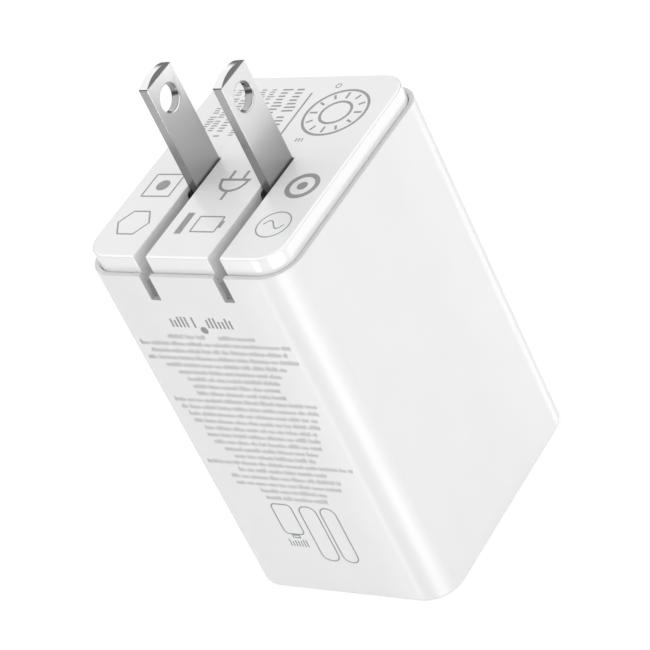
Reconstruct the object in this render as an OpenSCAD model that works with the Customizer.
// Wall-plug laptop power adapter with two folding mains prongs and four USB sockets.
// It stands on its socket face: +Z points to the prongs, -Y is the side that the prongs fold towards,
// and the origin is the middle of the socket face. All sizes are in millimetres.

/* [Housing] */
// Width of the housing, along X
body_w = 35; // [31.5:0.5:40]
// Depth of the housing, along Y
body_d = 41; // [37:0.5:46]
// Height of the housing's rim above the socket face
rim_h = 60.5; // [54.5:0.5:75]
// Radius of the four upright corners
corner_r = 5; // [4:0.5:7]
// Wall thickness of the housing
wall = 1.8; // [1.5:0.1:2]
// Thickness of the socket face
socket_wall = 1.8; // [1.2:0.1:2.4]
// Thickness of the thin lip round the cap
lip_t = 0.85; // [0.7:0.05:1.1]
// Rounding of the edge round the socket face
foot_r = 0.7; // [0.3:0.1:1]

/* [Prong-end cap] */
// Height of the cap's face above the rim
cap_rise = 2.7; // [2.3:0.1:3.2]
// Height of the cap from its face to the lower edge of its skirt
cap_depth = 4.6; // [4.2:0.1:5]
// Thickness of the cap's plate
cap_plate = 2; // [1.6:0.1:2.2]
// Thickness of the plate over the rotor
thin_plate = 0.8; // [0.6:0.1:0.85]
// Thickness of the cap's skirt
skirt_t = 1.4; // [1:0.1:1.8]
// Gap between the cap's side and the housing's lip
cap_gap = 0.05; // [0.03:0.01:0.1]
// Rounding of the edge round the cap's face
cap_edge_r = 0.35; // [0.2:0.05:0.6]
// Width of each prong groove in the cap
groove_w = 2.05; // [1.9:0.05:2.3]
// Width of each notch in the housing's front wall
notch_w = 1.75; // [1.7:0.05:2]
// Depth of each groove and notch below the cap's face
groove_depth = 6.95; // [6.85:0.05:7.3]
// Gap between the back edge of a prong and the end of its groove
groove_end_gap = 0.07; // [0.05:0.01:0.2]
// Thickness of the ribs beside each groove
rib_t = 1; // [0.8:0.1:1.2]

/* [Prongs] */
// Distance between the middles of the prongs
prong_pitch = 12.7; // [12.3:0.1:13]
// Width of a prong
prong_w = 6.35; // [6.1:0.05:6.5]
// Thickness of a prong
prong_t = 1.5; // [1.4:0.05:1.6]
// Length of a prong outside the cap
prong_len = 17.35; // [15.9:0.05:18.3]
// Height of the rounded end of a prong, which is bevelled on both wide sides
prong_end_h = 0.75; // [0.5:0.05:1.5]
// Depth of those bevels at the tip
bevel_in = 0.2; // [0.1:0.05:0.5]
// Radius of the hole through a prong
hole_r = 2; // [1.7:0.05:2.2]
// Height of that hole above the cap's face
hole_up = 12.9; // [11:0.1:13.5]
// Distance of the prongs' middle in front of the centre line
prong_front = 1.74; // [1.6:0.02:1.8]

/* [Prong hinge] */
// Depth of the hinge line below the cap's face
pivot_depth = 2.4; // [2.35:0.05:2.5]
// Distance of the hinge line in front of the centre line
pivot_front = 0.8; // [0.75:0.01:0.85]
// Radius of the steel hinge pin
pin_r = 0.75; // [0.6:0.05:0.85]
// Radial gap between the pin and what it runs or lies in
pin_fit = 0.05; // [0.02:0.01:0.08]
// Radius of the rotor's insulating sleeve round the pin
sleeve_r = 1.4; // [1.2:0.05:1.45]
// Gap between the sleeve and the prong that is moulded on it
mould_gap = 0.02; // [0.01:0.01:0.04]
// Radius of the rotor's quarter-round body
rotor_r = 4.1; // [4:0.05:4.2]
// Wall of the rotor beyond the outer side of each prong
cheek_t = 1.35; // [1:0.05:1.6]
// Gap between the rotor and the cap's ears
side_gap = 0.2; // [0.1:0.05:0.3]
// Distance that the pin reaches into each ear
pin_seat = 1.95; // [1.5:0.05:2.5]
// Wall of each ear beyond the end of the pin
ear_end = 0.3; // [0.2:0.05:0.5]
// Width of each ear
ear_w = 5; // [4:0.1:6]
// Radial room round the rotor in its pocket
rotor_room = 0.6; // [0.5:0.05:0.8]

/* [Hinge cover, springs and screws] */
// Thickness of the hinge cover's floor
cover_t = 1; // [0.8:0.1:1.4]
// Room for the springs between the rotor and the floor
spring_room = 1.3; // [1.2:0.1:1.6]
// Thickness of the spring strips
strip_t = 0.4; // [0.3:0.05:0.5]
// Running gap between the springs' crowns and the rotor
crown_gap = 0.1; // [0.08:0.01:0.2]
// Width of each contact spring
contact_w = 2.4; // [2:0.1:3]
// Width of the detent spring
detent_w = 5; // [3:0.1:6]
// Length of each contact's tail below the floor
tail_len = 2.4; // [2:0.1:2.6]
// Radius of the stake that holds the detent spring
stake_r = 0.9; // [0.6:0.05:1.2]
// Distance of each screw from the middle, along X
screw_x = 9.2; // [9:0.1:10]
// Distance of each screw behind the middle, along Y
screw_y = 8.6; // [8:0.1:9.5]
// Radius of the screws' shank
screw_r = 0.85; // [0.7:0.05:1]
// Radius of the screws' heads
screw_head_r = 1.9; // [1.5:0.1:2.1]
// Height of the screws' heads
screw_head_h = 1.1; // [0.8:0.1:1.2]
// Length of the screws' shank
screw_len = 4.5; // [3.5:0.1:5]

/* [Sockets] */
// Distance between neighbouring sockets, along Y
socket_pitch = 8.8; // [8.2:0.1:9.2]
// Depth of the sockets
socket_depth = 10.5; // [9.5:0.5:12]
// Depth of the sockets' mouths below the socket face
mouth_in = 0.4; // [0.2:0.1:0.8]
// Gap between a socket and its opening in the housing
mouth_gap = 0.15; // [0.1:0.05:0.3]
// Thickness of the sockets' steel shells
socket_steel = 0.3; // [0.2:0.05:0.4]
// Inside width of a wide socket (USB-A)
wide_w = 12.5; // [12.3:0.1:12.7]
// Inside height of a wide socket (USB-A)
wide_h = 5.12; // [5:0.02:5.3]
// Thickness of a wide socket's tongue
wide_tongue = 1.84; // [1.7:0.02:1.9]
// Inside width of a small socket (USB-C)
small_w = 8.34; // [8.2:0.02:8.5]
// Inside height of a small socket (USB-C)
small_h = 2.56; // [2.5:0.02:2.7]
// Thickness of a small socket's tongue
small_tongue = 0.7; // [0.6:0.02:0.8]
// Length of the solid back of each socket
socket_back = 2.5; // [2:0.1:3]

/* [Boards and cooling] */
// Thickness of the circuit boards
board_t = 1.2; // [1:0.1:1.6]
// Gap between the boards and the housing
board_gap = 0.4; // [0.2:0.05:0.6]
// Thickness of the thermal pad behind the main board
pad_t = 1.3; // [1:0.1:1.5]
// Thickness of the heat spreader
spreader_t = 0.5; // [0.3:0.1:0.6]
// Thickness of the insulating sheet
sheet_t = 0.25; // [0.2:0.05:0.4]
// Gap on each side of the heat spreader
spreader_gap = 0.2; // [0.1:0.05:0.25]
// Radius of the posts under the socket board
post_r = 1.2; // [0.8:0.1:1.6]

/* [Electronic parts] */
// Space between rows of parts on the main board
row_gap = 1.4; // [1:0.1:1.6]
// Thickness of the outer legs and plates of the transformer's core
core_leg = 2.5; // [2:0.1:3]
// Thickness of the transformer's winding round the core's middle post
winding_t = 3.85; // [3:0.05:4.5]
// Gap between the transformer and the output capacitors
core_gap = 2.5; // [1.5:0.1:4]
// Radius of the bulk capacitors
bulk_r = 5; // [4:0.1:5]
// Gap between the bulk capacitors' ends and the insulating sheet
bulk_end_gap = 2.9; // [0.5:0.1:8]
// Outer radius of the choke's ring core
choke_r = 5.4; // [4.5:0.1:5.5]
// Length of the output capacitors
output_len = 12; // [8:0.5:12.5]
// Width of the square buck inductors
inductor_w = 7; // [6:0.5:7.5]

/* [Hidden] */
$fn = 64;

e = 0.1; // overlap of cutting tools past the faces they cut
left = -1;
right = 1;

// Levels along Z
face_z = rim_h + cap_rise;
skirt_z = face_z - cap_depth;
groove_z = face_z - groove_depth;
pivot_z = face_z - pivot_depth;
floor_z = pivot_z - rotor_r - spring_room;
cover_z = floor_z - cover_t;

// The hinge and the prongs
pivot_y = -pivot_front;
prong_y0 = -prong_front - prong_w / 2;
prong_y1 = -prong_front + prong_w / 2;
prong_x = prong_pitch / 2;
tail_proud = 0.1; // how far the prong tails stand out of the rotor, to meet their contacts
tail_r = rotor_r + tail_proud;
heel_r = prong_y1 - pivot_y;
pocket_r = tail_r + rotor_room;
rotor_half = prong_x + prong_t / 2 + cheek_t;
ear_x = rotor_half + side_gap;
pin_half = ear_x + pin_seat;
ear_end_x = pin_half + ear_end;
groove_y1 = prong_y1 + groove_end_gap;
block_y1 = pivot_y - pocket_r;

// The springs under the rotor
leaf_reach = 2.4; // from the crown to the free end
leaf_foot = 2.8; // from the hinge line to where the strips lie down on the floor
leaf_end = 8; // from the hinge line to the strips' end
leaf_lift = 0.1; // height of the free end above the floor
crown_top = 0.6; // half width of a crown's flat top
crown_under = 0.5; // half width of the flat below it
stake_back = 5.8; // from the hinge line to the stake
stake_up = 0.5; // height of the stake above its strip
leaf_foot_y = pivot_y + leaf_foot;
leaf_end_y = pivot_y + leaf_end;
stake_y = pivot_y + stake_back;
stake_h = strip_t + stake_up;
lead_r = 0.6;
lead_z = floor_z - tail_len - cover_t + lead_r;
lead_y = leaf_end_y + lead_r;
lead_step = 2.6; // how far the right lead passes behind the left one

// The housing's insides
cavity_w = body_w - 2 * wall;
cavity_d = body_d - 2 * wall;
cavity_r = corner_r - wall;
lip_in_w = body_w - 2 * lip_t;
lip_in_d = body_d - 2 * lip_t;
cap_w = lip_in_w - 2 * cap_gap;
cap_d = lip_in_d - 2 * cap_gap;
cap_r = corner_r - lip_t - cap_gap;
block_half = prong_x + groove_w / 2 + rib_t;
block_gap = 0.15;
screw_boss_r = 2;
cover_rim = 0.5; // how far the hinge cover reaches past the bosses
screw_hole_gap = 0.15;
slot_w = 0.5; // width and depth of the cross slots in the screws' heads
slot_deep = 0.7;
thread_end = 0.3; // free depth of each screw hole beyond its screw

// The sockets and their board
socket_board_z = mouth_in + socket_depth;
socket_board_top = socket_board_z + board_t;
socket_corner = 0.3;
tongue_in = 0.8; // depth of a tongue's end below its socket's mouth
insert_gap = 0.03;
small_side = 0.83; // room beside a small socket's tongue
wide_side = 0.7; // room beside a wide socket's tongue
wide_above = 0.5; // room between a wide socket's tongue and the shell behind it

// The main board stands on the socket board and faces +X. The parts fit between it and the
// insulating sheet, whose inside is at inner_x and at inner_y on both sides.
sheet_gap = 0.05; // between the heat spreader and the insulating sheet
sheet_inset = spreader_gap + spreader_t + sheet_gap;
inner_x = cavity_w / 2 - sheet_inset - sheet_t;
inner_y = cavity_d / 2 - sheet_inset - sheet_t;
edge_gap = 0.5; // between the main board's edges and the insulating sheet
board_below = 1.2; // from the hinge cover down to the main board's top edge
pad_in = 5; // from the main board's edges to the thermal pad
main_x = -cavity_w / 2 + pad_t + board_t;
main_half = inner_y - edge_gap;
main_top = cover_z - board_below;
pad_half = main_half - pad_in;

// The top row, under the leads: film capacitor, fuse and choke
lead_gap = 1.7; // from the leads down to the film capacitor
film_size = [12, 13, 8];
film_end = 1.7; // from the insulating sheet
film_y = inner_y - film_end - film_size.y / 2;
top_row = lead_z - lead_r - lead_gap - film_size.z;
wire_t = 0.8; // thickness of the choke's windings on their ring
choke_t = 5;
choke_end = 1.6; // from the insulating sheet
choke_y = -inner_y + choke_end + choke_r + wire_t;
choke_top = 0.2; // from the main board's top edge
choke_z = main_top - choke_top - choke_r - wire_t;
winding_angle = 130;
fuse_r = 1.2;
fuse_len = 7;
fuse_y = (choke_y + choke_r + wire_t + film_y - film_size.y / 2) / 2;

// The middle row: bulk capacitors and bridge rectifier
bulk_between = 0.8;
bulk_side = 1.5; // from the insulating sheet
bulk_pitch = 2 * bulk_r + bulk_between;
bulk_y = inner_y - bulk_side - bulk_r - bulk_pitch;
bulk_mid = top_row - row_gap - bulk_r;
bulk_len = inner_x - bulk_end_gap - main_x;
bridge_end = 1.55; // from the insulating sheet
bridge_gap = 2.05; // from the first bulk capacitor
bridge_y0 = -inner_y + bridge_end;
bridge_y1 = bulk_y - bulk_r - bridge_gap;
bridge_y = (bridge_y0 + bridge_y1) / 2;
bridge_size = [1.8, bridge_y1 - bridge_y0, 6.4];

// The bottom row: transformer, with small parts on one side and a disc capacitor on the other
gan_size = [0.9, 5, 6];
opto_size = [2.4, 4.6, 6.5];
side_end = 1.1; // from the insulating sheet to the small parts, and from them to the transformer
side_y = -inner_y + side_end + gan_size.y / 2;
disc_r = 3.5;
disc_t = 3;
disc_end = 2.3; // from the insulating sheet
disc_y = inner_y - disc_end - disc_t / 2;
disc_leg_r = 0.3;
disc_leg_up = 1;
disc_leg_step = 1.6;
core_up = 2.4; // from the socket board
core_y = -2 * (side_y + gan_size.y / 2 + side_end);
core_top = bulk_mid - bulk_r - row_gap;
core_z = core_top - core_up - socket_board_top;
core_mid = core_top - core_z / 2;
winding_gap = 0.05;
window_gap = 0.5; // between the winding and the core's outer legs
winding_proud = 1.2; // how far the winding may stand out of a low core
winding_r = min(core_z / 2 + winding_proud, core_y / 2 - core_leg - window_gap);
core_post_r = winding_r - winding_t - winding_gap;
side_step = (core_top + row_gap - socket_board_top - gan_size.z - opto_size.z) / 3;
opto_z = socket_board_top + side_step;
gan_z = opto_z + opto_size.z + side_step;

// The parts that stand on the socket board
output_gap = 0.8; // from the middle to each output capacitor, and from it to the inductor
output_side = 1.4; // from the insulating sheet
inductor_end = 1.1; // from the insulating sheet
inductor_h = 4.5;
inductor_y = inner_y - inductor_end - inductor_w / 2;
output_r = (inductor_y - inductor_w / 2) / 2 - output_gap;
output_x = inner_x - output_side - output_r;
core_x = output_x - output_r - core_gap - main_x;

function socket_y(i) = (1.5 - i) * socket_pitch;

module rounded_rect(w, d, r) {
    square([w, d - 2 * r], center = true);
    square([w - 2 * r, d], center = true);
    for (x = [-1, 1], y = [-1, 1])
        translate([x * (w / 2 - r), y * (d / 2 - r)])
            circle(r);
}

// Half section of an upright wall whose lower outer edge is rounded by edge
module edge_section(r, h, edge) {
    square([r - edge, h]);
    translate([0, edge])
        square([r, h - edge]);
    translate([r - edge, edge])
        circle(edge);
}

// Block with rounded upright corners and a rounded edge round its lower face
module rounded_block(w, d, h, r, edge) {
    x = w / 2 - r;
    y = d / 2 - r;
    translate([-x, -y, 0])
        cube([2 * x, 2 * y, h]);
    for (turn = [0, 180])
        rotate(turn) {
            translate([x, y, 0])
                rotate([90, 0, 0])
                    linear_extrude(2 * y)
                        edge_section(r, h, edge);
            translate([-x, y, 0])
                rotate([90, 0, 90])
                    linear_extrude(2 * x)
                        edge_section(r, h, edge);
            translate([x, y, 0])
                rotate_extrude(angle = 90)
                    edge_section(r, h, edge);
            translate([-x, y, 0])
                rotate(90)
                    rotate_extrude(angle = 90)
                        edge_section(r, h, edge);
        }
}

// Cylinder along X, centred on the point given
module bar_x(r, length, y, z) {
    translate([0, y, z])
        rotate([0, 90, 0])
            cylinder(r = r, h = length, center = true);
}

// Runs what follows once for each prong, moved to the prong's middle
module at_prongs() {
    for (side = [left, right])
        translate([side * prong_x, 0, 0])
            children();
}

module at_screws() {
    for (side = [left, right])
        translate([side * screw_x, screw_y, 0])
            children();
}

module small_mouth(grow) {
    rounded_rect(small_w + 2 * grow, small_h + 2 * grow, small_h / 2 + grow - 0.001);
}

module wide_mouth(grow) {
    rounded_rect(wide_w + 2 * grow, wide_h + 2 * grow, socket_corner + grow);
}

module shell() {
    color("white") {
        difference() {
            rounded_block(body_w, body_d, rim_h, corner_r, foot_r);
            translate([0, 0, socket_wall])
                linear_extrude(rim_h)
                    rounded_rect(cavity_w, cavity_d, cavity_r);
            translate([0, 0, skirt_z])
                linear_extrude(rim_h)
                    rounded_rect(lip_in_w, lip_in_d, corner_r - lip_t);
            // room behind the front wall for the hinge cover's channels
            translate([-block_half - block_gap, -lip_in_d / 2, floor_z - block_gap])
                cube([2 * (block_half + block_gap), wall, rim_h]);
            at_prongs()
                translate([-notch_w / 2, -body_d / 2 - e, groove_z])
                    cube([notch_w, lip_t + 2 * e, rim_h]);
            translate([0, 0, -e])
                linear_extrude(socket_wall + 2 * e)
                    for (i = [0:3])
                        translate([0, socket_y(i)])
                            if (i < 2) small_mouth(socket_steel + mouth_gap);
                            else wide_mouth(socket_steel + mouth_gap);
        }
        socket_board_posts();
    }
}

// Four posts on the inside of the socket face carry the socket board
module socket_board_posts() {
    for (x = [-1, 1], y = [-1, 1])
        translate([x * (cavity_w / 2 - 2 * post_r), y * (cavity_d / 2 - 1.6 * post_r), socket_wall])
            cylinder(r = post_r, h = socket_board_z - socket_wall);
}

module prong_cap() {
    color("whitesmoke")
        difference() {
            union() {
                difference() {
                    translate([0, 0, face_z])
                        mirror([0, 0, 1])
                            rounded_block(cap_w, cap_d, cap_depth, cap_r, cap_edge_r);
                    translate([0, 0, skirt_z - e])
                        linear_extrude(cap_depth - cap_plate + e)
                            rounded_rect(cap_w - 2 * skirt_t, cap_d - 2 * skirt_t, cap_r - skirt_t);
                }
                groove_ribs();
                hinge_ears();
                screw_bosses();
            }
            at_prongs()
                translate([-groove_w / 2, -body_d / 2, skirt_z - e])
                    cube([groove_w, body_d / 2 + groove_y1, cap_depth + 2 * e]);
            rotor_pocket();
            // open slots that take the ends of the pin
            bar_x(pin_r + pin_fit, 2 * pin_half + 2 * pin_fit, pivot_y, pivot_z);
            translate([0, pivot_y, (skirt_z + pivot_z - e) / 2])
                cube([2 * pin_half + 2 * pin_fit, 2 * (pin_r + pin_fit), pivot_z - skirt_z + e],
                    center = true);
            at_screws()
                translate([0, 0, floor_z - e])
                    cylinder(r = screw_r + pin_fit, h = screw_len + e);
        }
}

module groove_ribs() {
    at_prongs()
        translate([-groove_w / 2 - rib_t, -cap_d / 2 + skirt_t - e, skirt_z])
            cube([groove_w + 2 * rib_t, cap_d / 2 - skirt_t + e + groove_y1 + rib_t,
                cap_depth - cap_plate + e]);
}

module hinge_ears() {
    for (side = [left, right])
        translate([side * (ear_x + ear_end_x) / 2, pivot_y, (skirt_z + face_z - cap_plate + e) / 2])
            cube([ear_end_x - ear_x, ear_w, cap_depth - cap_plate + e], center = true);
}

module screw_bosses() {
    at_screws()
        translate([0, 0, floor_z])
            cylinder(r = screw_boss_r, h = face_z - cap_plate + e - floor_z);
}

// Round space that the rotor turns in, closed above by the thin part of the plate
module rotor_pocket() {
    intersection() {
        bar_x(pocket_r, 2 * ear_x, pivot_y, pivot_z);
        translate([-ear_x, pivot_y - pocket_r, skirt_z - e])
            cube([2 * ear_x, 2 * pocket_r, cap_depth - thin_plate + e]);
    }
}

// Side view of a prong, in the plane of Y and Z
module prong_outline() {
    end_r = (pow(prong_w / 2, 2) + pow(prong_end_h, 2)) / (2 * prong_end_h);
    tip_z = face_z + prong_len;
    difference() {
        union() {
            intersection() {
                translate([prong_y0, pivot_z])
                    square([prong_w, tip_z - pivot_z]);
                union() {
                    translate([-prong_front, tip_z - end_r])
                        circle(end_r, $fn = 128);
                    translate([prong_y0 - e, pivot_z - e])
                        square([prong_w + 2 * e, tip_z - end_r - pivot_z + 2 * e]);
                }
            }
            intersection() {
                translate([pivot_y, pivot_z])
                    circle(tail_r);
                translate([prong_y0, pivot_z - tail_r])
                    square([pivot_y - prong_y0, tail_r + e]);
            }
            intersection() {
                translate([pivot_y, pivot_z])
                    circle(heel_r);
                translate([pivot_y - e, pivot_z - heel_r])
                    square([heel_r + e, heel_r]);
            }
        }
        translate([-prong_front, face_z + hole_up])
            circle(hole_r);
        translate([pivot_y, pivot_z])
            circle(sleeve_r + mould_gap);
    }
}

module prong(side) {
    tip_z = face_z + prong_len;
    color("silver")
        translate([side * prong_x, 0, 0])
            difference() {
                translate([-prong_t / 2, 0, 0])
                    rotate([90, 0, 90])
                        linear_extrude(prong_t)
                            prong_outline();
                for (turn = [0, 180])
                    rotate(turn)
                        translate([0, prong_w * 2, 0])
                            rotate([90, 0, 0])
                                linear_extrude(prong_w * 4)
                                    polygon([[prong_t / 2, tip_z - prong_end_h],
                                        [prong_t / 2 + e, tip_z - prong_end_h],
                                        [prong_t / 2 + e, tip_z + e],
                                        [prong_t / 2 - bevel_in * (1 + e / prong_end_h), tip_z + e]]);
            }
}

module prong_rotor() {
    color("gainsboro")
        difference() {
            union() {
                bar_x(sleeve_r, 2 * rotor_half, pivot_y, pivot_z);
                difference() {
                    intersection() {
                        bar_x(rotor_r, 2 * rotor_half, pivot_y, pivot_z);
                        translate([-rotor_half, pivot_y - rotor_r, pivot_z - rotor_r])
                            cube([2 * rotor_half, rotor_r, rotor_r]);
                    }
                    at_prongs()
                        translate([-prong_t / 2, pivot_y - 2 * rotor_r, pivot_z - 2 * rotor_r])
                            cube([prong_t, 4 * rotor_r, 4 * rotor_r]);
                }
            }
            bar_x(pin_r + pin_fit, 2 * rotor_half + 2 * e, pivot_y, pivot_z);
        }
}

module hinge_pin() {
    color("lightgray")
        bar_x(pin_r, 2 * pin_half, pivot_y, pivot_z);
}

module hinge_cover() {
    cover_half = max(ear_end_x, screw_x + screw_boss_r) + cover_rim;
    front = -cavity_d / 2 + board_gap;
    back = screw_y + screw_boss_r + cover_rim;
    color("gainsboro")
        difference() {
            union() {
                translate([-cover_half, front, cover_z])
                    cube([2 * cover_half, back - front, cover_t]);
                groove_channels();
                pin_saddles();
                translate([0, stake_y, floor_z - e])
                    cylinder(r = stake_r, h = stake_h + e);
            }
            at_screws()
                translate([0, 0, cover_z - e])
                    cylinder(r = screw_r + screw_hole_gap, h = cover_t + 2 * e);
            at_prongs()
                translate([-contact_w / 2 - mould_gap, leaf_end_y - strip_t - mould_gap, cover_z - e])
                    cube([contact_w + 2 * mould_gap, strip_t + 2 * mould_gap, cover_t + 2 * e]);
        }
}

// Channels under the cap's grooves, which the folded prongs lie in
module groove_channels() {
    front = -lip_in_d / 2 + block_gap;
    at_prongs()
        difference() {
            translate([-groove_w / 2 - rib_t, front, floor_z - block_gap / 2])
                cube([groove_w + 2 * rib_t, block_y1 - front, skirt_z - floor_z + block_gap / 2]);
            translate([-groove_w / 2, front - e, groove_z])
                cube([groove_w, block_y1 - front + 2 * e, groove_depth]);
        }
}

// Posts that close the cap's open slots and carry the ends of the pin
module pin_saddles() {
    for (side = [left, right])
        difference() {
            translate([side * (ear_x + pin_half) / 2, pivot_y, (floor_z - e + pivot_z) / 2])
                cube([pin_half - ear_x - 2 * pin_fit, 2 * pin_r, pivot_z - floor_z + e], center = true);
            bar_x(pin_r + pin_fit, 2 * ear_end_x, pivot_y, pivot_z);
        }
}

// Side view of a bowed spring strip: its foot lies on the floor, its crown rises under the rotor
module leaf_outline(crown_z) {
    polygon([[leaf_end_y, floor_z], [leaf_end_y, floor_z + strip_t],
        [leaf_foot_y, floor_z + strip_t], [pivot_y + crown_top, crown_z],
        [pivot_y - crown_top, crown_z], [pivot_y - leaf_reach, floor_z + strip_t + leaf_lift],
        [pivot_y - leaf_reach, floor_z + leaf_lift], [pivot_y - crown_under, crown_z - strip_t],
        [pivot_y + crown_under, crown_z - strip_t], [leaf_foot_y - leaf_lift, floor_z]]);
}

module leaf(w, crown_z) {
    translate([-w / 2, 0, 0])
        rotate([90, 0, 90])
            linear_extrude(w)
                leaf_outline(crown_z);
}

module detent_spring() {
    color("lightsteelblue")
        difference() {
            leaf(detent_w, pivot_z - rotor_r - crown_gap);
            translate([0, stake_y, floor_z - e])
                cylinder(r = stake_r + pin_fit, h = stake_h + e);
        }
}

module contact(side) {
    color("peru")
        translate([side * prong_x, 0, 0]) {
            leaf(contact_w, pivot_z - tail_r - crown_gap);
            translate([-contact_w / 2, leaf_end_y - strip_t, cover_z - tail_len])
                cube([contact_w, strip_t, tail_len + cover_t + strip_t]);
        }
}

module cover_screws() {
    color("dimgray")
        at_screws() {
            translate([0, 0, cover_z - screw_head_h])
                difference() {
                    cylinder(r = screw_head_r, h = screw_head_h);
                    for (turn = [0, 90])
                        rotate(turn)
                            translate([0, 0, slot_deep - 1])
                                cube([2 * screw_r, slot_w, 2], center = true);
                }
            translate([0, 0, cover_z - e])
                cylinder(r = screw_r, h = cover_t + screw_len - thread_end + e);
        }
}

// The left lead runs straight from its contact to the main board
module lead_left() {
    start_x = -prong_x + contact_w / 3;
    color("black")
        translate([main_x, lead_y, lead_z])
            rotate([0, 90, 0])
                cylinder(r = lead_r, h = start_x - main_x);
}

// The right lead steps back behind the left one and runs across to the main board
module lead_right() {
    start_x = prong_x;
    color("firebrick") {
        translate([start_x, lead_y + lead_step, lead_z])
            sphere(r = lead_r);
        translate([start_x, lead_y + lead_step, lead_z])
            rotate([90, 0, 0])
                cylinder(r = lead_r, h = lead_step);
        translate([start_x, lead_y, lead_z])
            sphere(r = lead_r);
        translate([main_x, lead_y + lead_step, lead_z])
            rotate([0, 90, 0])
                cylinder(r = lead_r, h = start_x - main_x);
    }
}

module main_board() {
    color("darkgreen")
        translate([main_x - board_t, -main_half, socket_board_top])
            cube([board_t, 2 * main_half, main_top - socket_board_top]);
}

module thermal_pad() {
    color("lightslategray")
        translate([-cavity_w / 2, -pad_half, core_mid - core_z / 2])
            cube([pad_t, 2 * pad_half, bulk_mid - core_mid + core_z]);
}

// Boxed part on the main board, its middle at y and z
module board_box(y, z, size) {
    translate([main_x, y - size.y / 2, z - size.z / 2])
        cube(size);
}

module fuse() {
    color("burlywood")
        translate([main_x + fuse_r, fuse_y, top_row])
            cylinder(r = fuse_r, h = fuse_len);
}

module x_capacitor() {
    color("khaki")
        board_box(film_y, top_row + film_size.z / 2, film_size);
}

module choke_core() {
    color("dimgray")
        translate([main_x + wire_t, choke_y, choke_z])
            rotate([0, 90, 0])
                difference() {
                    cylinder(r = choke_r, h = choke_t);
                    translate([0, 0, -e])
                        cylinder(r = choke_r / 2, h = choke_t + 2 * e);
                }
}

// Two wound halves of the choke, each a sleeve round one side of the ring
module choke_windings() {
    color("orangered")
        for (turn = [0, 180])
            translate([main_x, choke_y, choke_z])
                rotate([0, 90, 0])
                    rotate(turn + 90 - winding_angle / 2)
                        rotate_extrude(angle = winding_angle)
                            difference() {
                                translate([choke_r / 2 - wire_t, 0])
                                    square([choke_r / 2 + 2 * wire_t, choke_t + 2 * wire_t]);
                                translate([choke_r / 2, wire_t])
                                    square([choke_r / 2, choke_t]);
                            }
}

module bridge_rectifier() {
    color("black")
        board_box(bridge_y, core_top + row_gap + bridge_size.z / 2, bridge_size);
}

module bulk_capacitor(i) {
    color("darkslateblue")
        translate([main_x, bulk_y + i * bulk_pitch, bulk_mid])
            rotate([0, 90, 0])
                cylinder(r = bulk_r, h = bulk_len);
}

module gan_switch() {
    color("black")
        board_box(side_y, gan_z + gan_size.z / 2, gan_size);
}

module optocoupler() {
    color("black")
        board_box(side_y, opto_z + opto_size.z / 2, opto_size);
}

module transformer_core() {
    color("dimgray") {
        difference() {
            board_box(0, core_mid, [core_x, core_y, core_z]);
            translate([main_x + core_leg, -core_y / 2 + core_leg, core_mid - core_z / 2 - e])
                cube([core_x - 2 * core_leg, core_y - 2 * core_leg, core_z + 2 * e]);
        }
        translate([main_x + core_leg - e, 0, core_mid])
            rotate([0, 90, 0])
                cylinder(r = core_post_r, h = core_x - 2 * core_leg + 2 * e);
    }
}

module transformer_winding() {
    color("gold")
        translate([main_x + core_leg + winding_gap, 0, core_mid])
            rotate([0, 90, 0])
                difference() {
                    cylinder(r = winding_r, h = core_x - 2 * core_leg - 2 * winding_gap);
                    translate([0, 0, -e])
                        cylinder(r = core_post_r + winding_gap, h = core_x);
                }
}

// Disc on two legs that stand on the main board
module y_capacitor() {
    color("royalblue") {
        translate([main_x + disc_r + disc_leg_up, disc_y + disc_t / 2, core_mid])
            rotate([90, 0, 0])
                cylinder(r = disc_r, h = disc_t);
        for (step = [-disc_leg_step, disc_leg_step])
            translate([main_x, disc_y, core_mid + step])
                rotate([0, 90, 0])
                    cylinder(r = disc_leg_r, h = disc_r + disc_leg_up);
    }
}

module socket_board() {
    color("darkgreen")
        translate([0, 0, socket_board_z])
            linear_extrude(board_t)
                rounded_rect(cavity_w - 2 * board_gap, cavity_d - 2 * board_gap, cavity_r - board_gap);
}

module output_capacitor(side) {
    color("silver")
        translate([output_x, side * (output_r + output_gap), socket_board_top])
            cylinder(r = output_r, h = output_len);
}

module buck_inductor(side) {
    color("darkgray")
        translate([output_x - inductor_w / 2, side * inductor_y - inductor_w / 2, socket_board_top])
            cube([inductor_w, inductor_w, inductor_h]);
}

// Sheet bent round three sides of the parts, open towards the main board
module folded_sheet(inset, t) {
    translate([0, 0, socket_board_top])
        linear_extrude(main_top - socket_board_top)
            difference() {
                rounded_rect(cavity_w - 2 * inset, cavity_d - 2 * inset, cavity_r - inset);
                rounded_rect(cavity_w - 2 * (inset + t), cavity_d - 2 * (inset + t), cavity_r - inset - t);
                translate([-body_w / 2, -body_d / 2])
                    square([body_w / 2 + main_x + edge_gap, body_d]);
            }
}

module heat_spreader() {
    color("lightgray")
        folded_sheet(spreader_gap, spreader_t);
}

module insulating_sheet() {
    color("darkkhaki")
        folded_sheet(sheet_inset, sheet_t);
}

module usb_c_shell(i) {
    color("silver")
        translate([0, socket_y(i), mouth_in])
            linear_extrude(socket_depth)
                difference() {
                    small_mouth(socket_steel);
                    small_mouth(0);
                }
}

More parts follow.
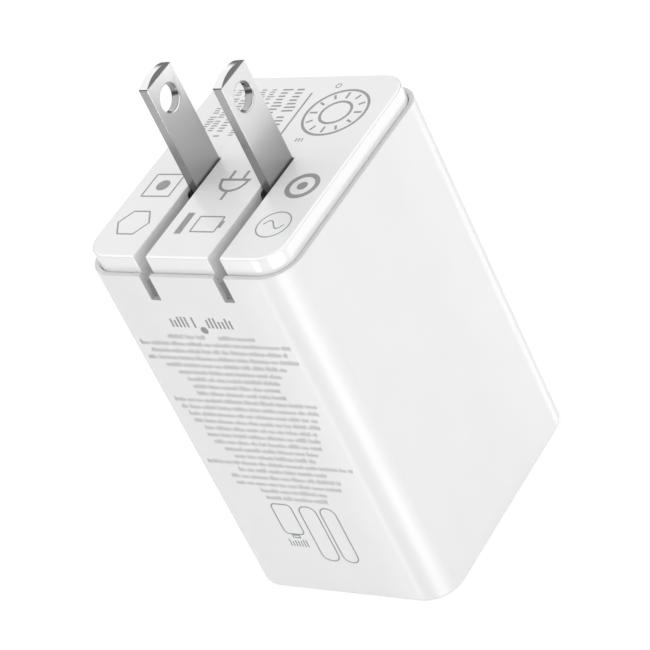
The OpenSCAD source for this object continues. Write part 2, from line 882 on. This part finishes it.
module usb_a_shell(i) {
    color("silver")
        translate([0, socket_y(i), mouth_in])
            linear_extrude(socket_depth)
                difference() {
                    wide_mouth(socket_steel);
                    wide_mouth(0);
                }
}

module usb_c_insert(i) {
    tongue_w = small_w - 2 * small_side;
    color("black")
        translate([0, socket_y(i), 0]) {
            translate([0, 0, socket_board_z - socket_back])
                linear_extrude(socket_back)
                    small_mouth(-insert_gap);
            translate([-tongue_w / 2, -small_tongue / 2, mouth_in + tongue_in])
                cube([tongue_w, small_tongue, socket_depth - tongue_in]);
        }
}

module usb_a_insert(i) {
    tongue_w = wide_w - 2 * wide_side;
    tongue_y = wide_h / 2 - wide_above - wide_tongue;
    color("black")
        translate([0, socket_y(i), 0]) {
            translate([0, 0, socket_board_z - socket_back])
                linear_extrude(socket_back)
                    wide_mouth(-insert_gap);
            translate([-tongue_w / 2, tongue_y, mouth_in + tongue_in])
                cube([tongue_w, wide_tongue, socket_depth - tongue_in]);
        }
}

shell();
prong_cap();
prong(left);  // prong_left
prong(right);  // prong_right
prong_rotor();
hinge_pin();
hinge_cover();
detent_spring();
contact(left);  // contact_left
contact(right);  // contact_right
cover_screws();
lead_left();
lead_right();
main_board();
thermal_pad();
fuse();
x_capacitor();
choke_core();
choke_windings();
bridge_rectifier();
bulk_capacitor(0);  // bulk_capacitor_1
bulk_capacitor(1);  // bulk_capacitor_2
gan_switch();
transformer_core();
transformer_winding();
y_capacitor();
optocoupler();
socket_board();
output_capacitor(left);  // output_capacitor_1
output_capacitor(right);  // output_capacitor_2
buck_inductor(left);  // buck_inductor_1
buck_inductor(right);  // buck_inductor_2
heat_spreader();
insulating_sheet();
usb_c_shell(0);  // usb_c_shell_1
usb_c_shell(1);  // usb_c_shell_2
usb_c_insert(0);  // usb_c_insert_1
usb_c_insert(1);  // usb_c_insert_2
usb_a_shell(2);  // usb_a_shell_1
usb_a_shell(3);  // usb_a_shell_2
usb_a_insert(2);  // usb_a_insert_1
usb_a_insert(3);  // usb_a_insert_2
